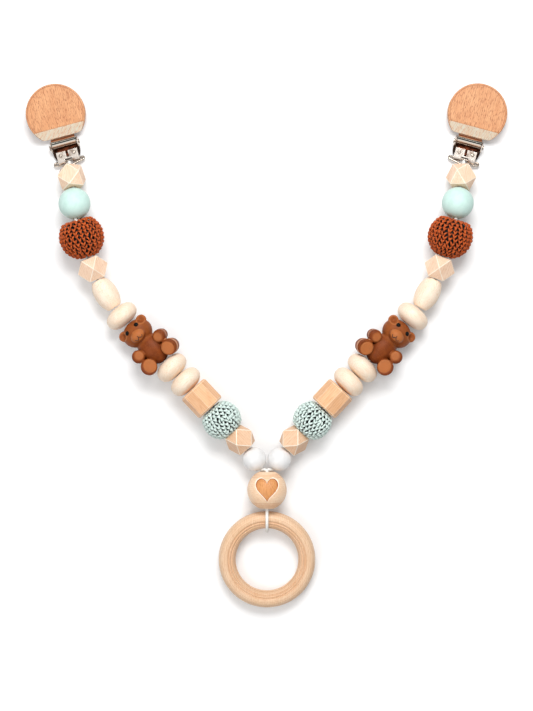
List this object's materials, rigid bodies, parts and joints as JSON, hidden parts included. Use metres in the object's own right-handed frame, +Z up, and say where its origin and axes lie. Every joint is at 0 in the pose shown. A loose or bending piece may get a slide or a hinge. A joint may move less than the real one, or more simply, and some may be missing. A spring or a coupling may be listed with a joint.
{
  "type": "pram chain toy",
  "caption": "Baby pram chain: two strands of wooden, crochet and silicone beads between two wooden-disc clips, with a heart bead and a ring in the middle.",
  "frame": {"origin": "under the middle of the toy as it lies flat, on the plane that it lies on", "axes": "+Z up out of the front of the beads, +Y from the ring towards the clips, +X to the right strand as seen from above"},
  "size_m": [0.2708, 0.2951, 0.0258],
  "materials": {
    "wood": "fine-grained, lightly waxed",
    "pale_wood": "pale, fine-grained, unpainted",
    "orange_wood": "warm reddish, lightly waxed",
    "mint_paint": "pale mint satin paint",
    "white_paint": "white satin paint",
    "rust_yarn": "rust-brown cotton crochet",
    "mint_yarn": "pale mint cotton crochet",
    "brown_silicone": "matt brown silicone",
    "white_cord": "white braided cord",
    "nickel": "bright nickel plate",
    "clear_plastic": "translucent moulded plastic"
  },
  "bodies": {
    "middle_cord": {"ring_cord": "white_cord"},
    "heart": {"heart_bead": "wood"},
    "ring": {"ring": "wood"},
    "left_strand_1": {"left_cord_1": "white_cord"},
    "left_strand_2": {"left_cord_2": "white_cord"},
    "left_strand_3": {"left_cord_3": "white_cord"},
    "left_strand_4": {"left_cord_4": "white_cord"},
    "left_bead_13": {"left_13_white": "white_paint"},
    "left_bead_12": {"left_12_facet": "wood"},
    "left_bead_11": {"left_11_mint_core": "pale_wood", "left_11_mint_cover": "mint_yarn"},
    "left_bead_10": {"left_10_barrel": "orange_wood"},
    "left_bead_09": {"left_09_lens": "wood"},
    "left_bead_08": {"left_08_lens": "wood"},
    "left_bead_07": {"left_07_teddy": "brown_silicone"},
    "left_bead_06": {"left_06_lens": "wood"},
    "left_bead_05": {"left_05_oval": "pale_wood"},
    "left_bead_04": {"left_04_facet": "wood"},
    "left_bead_03": {"left_03_rust_core": "pale_wood", "left_03_rust_cover": "rust_yarn"},
    "left_bead_02": {"left_02_mint": "mint_paint"},
    "left_bead_01": {"left_01_facet": "wood"},
    "left_bail_loop": {"left_bail": "nickel"},
    "left_clip": {"left_clip_base": "nickel", "left_jaw_pad": "clear_plastic", "left_pivot_pin": "nickel"},
    "left_lever": {"left_clip_lever": "nickel", "left_clip_disc": "orange_wood", "left_front_rivet": "nickel", "left_rear_rivet": "nickel"},
    "right_strand_1": {"right_cord_1": "white_cord"},
    "right_strand_2": {"right_cord_2": "white_cord"},
    "right_strand_3": {"right_cord_3": "white_cord"},
    "right_strand_4": {"right_cord_4": "white_cord"},
    "right_bead_13": {"right_13_white": "white_paint"},
    "right_bead_12": {"right_12_facet": "wood"},
    "right_bead_11": {"right_11_mint_core": "pale_wood", "right_11_mint_cover": "mint_yarn"},
    "right_bead_10": {"right_10_barrel": "orange_wood"},
    "right_bead_09": {"right_09_lens": "wood"},
    "right_bead_08": {"right_08_lens": "wood"},
    "right_bead_07": {"right_07_teddy": "brown_silicone"},
    "right_bead_06": {"right_06_lens": "wood"},
    "right_bead_05": {"right_05_oval": "pale_wood"},
    "right_bead_04": {"right_04_facet": "wood"},
    "right_bead_03": {"right_03_rust_core": "pale_wood", "right_03_rust_cover": "rust_yarn"},
    "right_bead_02": {"right_02_mint": "mint_paint"},
    "right_bead_01": {"right_01_facet": "wood"},
    "right_bail_loop": {"right_bail": "nickel"},
    "right_clip": {"right_clip_base": "nickel", "right_jaw_pad": "clear_plastic", "right_pivot_pin": "nickel"},
    "right_lever": {"right_clip_lever": "nickel", "right_clip_disc": "orange_wood", "right_front_rivet": "nickel", "right_rear_rivet": "nickel"}
  },
  "joints": [
    {"name": "ring_swing", "type": "hinge", "parent": "middle_cord", "child": "ring", "pos_m": [0.00028, -0.09789, 0.00719], "axis": [1, 0, 0], "range_deg": [-90, 90]},
    {"name": "left_swing", "type": "hinge", "parent": "middle_cord", "child": "left_strand_1", "pos_m": [-0.00677, -0.06353, 0.0097], "axis": [0, 0, 1], "range_deg": [-8, 30]},
    {"name": "right_swing", "type": "hinge", "parent": "middle_cord", "child": "right_strand_1", "pos_m": [0.00733, -0.06353, 0.0097], "axis": [0, 0, -1], "range_deg": [-8, 30]},
    {"name": "left_bend_1", "type": "hinge", "parent": "left_strand_1", "child": "left_strand_2", "pos_m": [-0.04918, -0.01611, 0.01139], "axis": [0, 0, 1], "range_deg": [-8, 8]},
    {"name": "right_bend_1", "type": "hinge", "parent": "right_strand_1", "child": "right_strand_2", "pos_m": [0.04987, -0.01622, 0.01139], "axis": [0, 0, -1], "range_deg": [-8, 8]},
    {"name": "left_bend_2", "type": "hinge", "parent": "left_strand_2", "child": "left_strand_3", "pos_m": [-0.08507, 0.02123, 0.00941], "axis": [0, 0, 1], "range_deg": [-6, 6]},
    {"name": "right_bend_2", "type": "hinge", "parent": "right_strand_2", "child": "right_strand_3", "pos_m": [0.08582, 0.02118, 0.00941], "axis": [0, 0, -1], "range_deg": [-6, 6]},
    {"name": "left_bend_3", "type": "hinge", "parent": "left_strand_3", "child": "left_strand_4", "pos_m": [-0.10754, 0.07968, 0.01259], "axis": [0, 0, 1], "range_deg": [-8, 10]},
    {"name": "right_bend_3", "type": "hinge", "parent": "right_strand_3", "child": "right_strand_4", "pos_m": [0.10712, 0.08002, 0.01256], "axis": [0, 0, -1], "range_deg": [-8, 10]},
    {"name": "left_clip_turn", "type": "hinge", "parent": "left_strand_4", "child": "left_bail_loop", "pos_m": [-0.11102, 0.10222, 0.00285], "axis": [0, 0, 1], "range_deg": [-12, 20]},
    {"name": "right_clip_turn", "type": "hinge", "parent": "right_strand_4", "child": "right_bail_loop", "pos_m": [0.11102, 0.10251, 0.00285], "axis": [0, 0, -1], "range_deg": [-12, 20]},
    {"name": "left_clip_tilt", "type": "hinge", "parent": "left_bail_loop", "child": "left_clip", "pos_m": [-0.11185, 0.10531, 0.00155], "axis": [0.9655, 0.2605, 0], "range_deg": [-60, 30]},
    {"name": "right_clip_tilt", "type": "hinge", "parent": "right_bail_loop", "child": "right_clip", "pos_m": [0.11185, 0.1056, 0.00155], "axis": [0.9655, -0.2605, 0], "range_deg": [-60, 30]},
    {"name": "left_lever_open", "type": "hinge", "parent": "left_clip", "child": "left_lever", "pos_m": [-0.11412, 0.11371, 0.0038], "axis": [0.9655, 0.2605, 0], "range_deg": [0, 60]},
    {"name": "right_lever_open", "type": "hinge", "parent": "right_clip", "child": "right_lever", "pos_m": [0.11412, 0.114, 0.0038], "axis": [0.9655, -0.2605, 0], "range_deg": [0, 60]},
    {"name": "heart_spin", "type": "hinge", "parent": "middle_cord", "child": "heart", "pos_m": [0.00028, -0.08079, 0.0111], "axis": [0, 1, 0], "continuous": true},
    {"name": "left_bead_13_spin", "type": "hinge", "parent": "middle_cord", "child": "left_bead_13", "pos_m": [-0.00677, -0.06353, 0.0097], "axis": [-0.5222, 0.8521, 0.0349], "continuous": true},
    {"name": "left_bead_12_spin", "type": "hinge", "parent": "left_strand_1", "child": "left_bead_12", "pos_m": [-0.0148, -0.05279, 0.01035], "axis": [-0.6705, 0.7394, 0.061], "continuous": true},
    {"name": "left_bead_11_spin", "type": "hinge", "parent": "left_strand_1", "child": "left_bead_11", "pos_m": [-0.02501, -0.0416, 0.01135], "axis": [-0.6739, 0.7355, 0.0698], "continuous": true},
    {"name": "left_bead_10_spin", "type": "hinge", "parent": "left_strand_1", "child": "left_bead_10", "pos_m": [-0.0363, -0.02946, 0.01197], "axis": [-0.6871, 0.7266, 0], "continuous": true},
    {"name": "left_bead_09_spin", "type": "hinge", "parent": "left_strand_1", "child": "left_bead_09", "pos_m": [-0.04532, -0.02006, 0.01168], "axis": [-0.6987, 0.7135, -0.0523], "continuous": true},
    {"name": "left_bead_08_spin", "type": "hinge", "parent": "left_strand_2", "child": "left_bead_08", "pos_m": [-0.05307, -0.01219, 0.01101], "axis": [-0.7017, 0.7091, -0.0698], "continuous": true},
    {"name": "left_bead_07_spin", "type": "hinge", "parent": "left_strand_2", "child": "left_bead_07", "pos_m": [-0.0673, 0.00212, 0.01011], "axis": [-0.7054, 0.7079, -0.0349], "continuous": true},
    {"name": "left_bead_06_spin", "type": "hinge", "parent": "left_strand_2", "child": "left_bead_06", "pos_m": [-0.08134, 0.01681, 0.0095], "axis": [-0.6493, 0.7603, -0.0175], "continuous": true},
    {"name": "left_bead_05_spin", "type": "hinge", "parent": "left_strand_3", "child": "left_bead_05", "pos_m": [-0.09002, 0.02912, 0.00988], "axis": [-0.5277, 0.8478, 0.0523], "continuous": true},
    {"name": "left_bead_04_spin", "type": "hinge", "parent": "left_strand_3", "child": "left_bead_04", "pos_m": [-0.09745, 0.04328, 0.01108], "axis": [-0.3709, 0.9228, 0.1045], "continuous": true},
    {"name": "left_bead_03_spin", "type": "hinge", "parent": "left_strand_3", "child": "left_bead_03", "pos_m": [-0.10347, 0.06088, 0.01325], "axis": [-0.2935, 0.9482, 0.1219], "continuous": true},
    {"name": "left_bead_02_spin", "type": "hinge", "parent": "left_strand_3", "child": "left_bead_02", "pos_m": [-0.10754, 0.07968, 0.01259], "axis": [-0.1107, 0.9719, -0.2079], "continuous": true},
    {"name": "left_bead_01_spin", "type": "hinge", "parent": "left_strand_4", "child": "left_bead_01", "pos_m": [-0.10956, 0.0946, 0.00845], "axis": [-0.1551, 0.9268, -0.342], "continuous": true},
    {"name": "right_bead_13_spin", "type": "hinge", "parent": "middle_cord", "child": "right_bead_13", "pos_m": [0.00733, -0.06353, 0.0097], "axis": [0.5589, 0.8285, 0.0349], "continuous": true},
    {"name": "right_bead_12_spin", "type": "hinge", "parent": "right_strand_1", "child": "right_bead_12", "pos_m": [0.01556, -0.05298, 0.01034], "axis": [0.6692, 0.7406, 0.061], "continuous": true},
    {"name": "right_bead_11_spin", "type": "hinge", "parent": "right_strand_1", "child": "right_bead_11", "pos_m": [0.02572, -0.04176, 0.01134], "axis": [0.6701, 0.739, 0.0698], "continuous": true},
    {"name": "right_bead_10_spin", "type": "hinge", "parent": "right_strand_1", "child": "right_bead_10", "pos_m": [0.03694, -0.02955, 0.01197], "axis": [0.682, 0.7314, 0], "continuous": true},
    {"name": "right_bead_09_spin", "type": "hinge", "parent": "right_strand_1", "child": "right_bead_09", "pos_m": [0.04597, -0.02013, 0.01168], "axis": [0.7049, 0.7074, -0.0523], "continuous": true},
    {"name": "right_bead_08_spin", "type": "hinge", "parent": "right_strand_2", "child": "right_bead_08", "pos_m": [0.05378, -0.01233, 0.011], "axis": [0.7066, 0.7042, -0.0698], "continuous": true},
    {"name": "right_bead_07_spin", "type": "hinge", "parent": "right_strand_2", "child": "right_bead_07", "pos_m": [0.06808, 0.00192, 0.01011], "axis": [0.7079, 0.7054, -0.0349], "continuous": true},
    {"name": "right_bead_06_spin", "type": "hinge", "parent": "right_strand_2", "child": "right_bead_06", "pos_m": [0.08213, 0.01666, 0.00949], "axis": [0.6387, 0.7693, -0.0175], "continuous": true},
    {"name": "right_bead_05_spin", "type": "hinge", "parent": "right_strand_3", "child": "right_bead_05", "pos_m": [0.09041, 0.02934, 0.00988], "axis": [0.4857, 0.8726, 0.0523], "continuous": true},
    {"name": "right_bead_04_spin", "type": "hinge", "parent": "right_strand_3", "child": "right_bead_04", "pos_m": [0.09718, 0.04381, 0.01108], "axis": [0.332, 0.9375, 0.1045], "continuous": true},
    {"name": "right_bead_03_spin", "type": "hinge", "parent": "right_strand_3", "child": "right_bead_03", "pos_m": [0.10285, 0.06129, 0.01322], "axis": [0.2918, 0.9487, 0.1219], "continuous": true},
    {"name": "right_bead_02_spin", "type": "hinge", "parent": "right_strand_3", "child": "right_bead_02", "pos_m": [0.10712, 0.08002, 0.01256], "axis": [0.1361, 0.9686, -0.2079], "continuous": true},
    {"name": "right_bead_01_spin", "type": "hinge", "parent": "right_strand_4", "child": "right_bead_01", "pos_m": [0.10947, 0.09489, 0.00842], "axis": [0.1696, 0.9243, -0.342], "continuous": true}
  ]
}
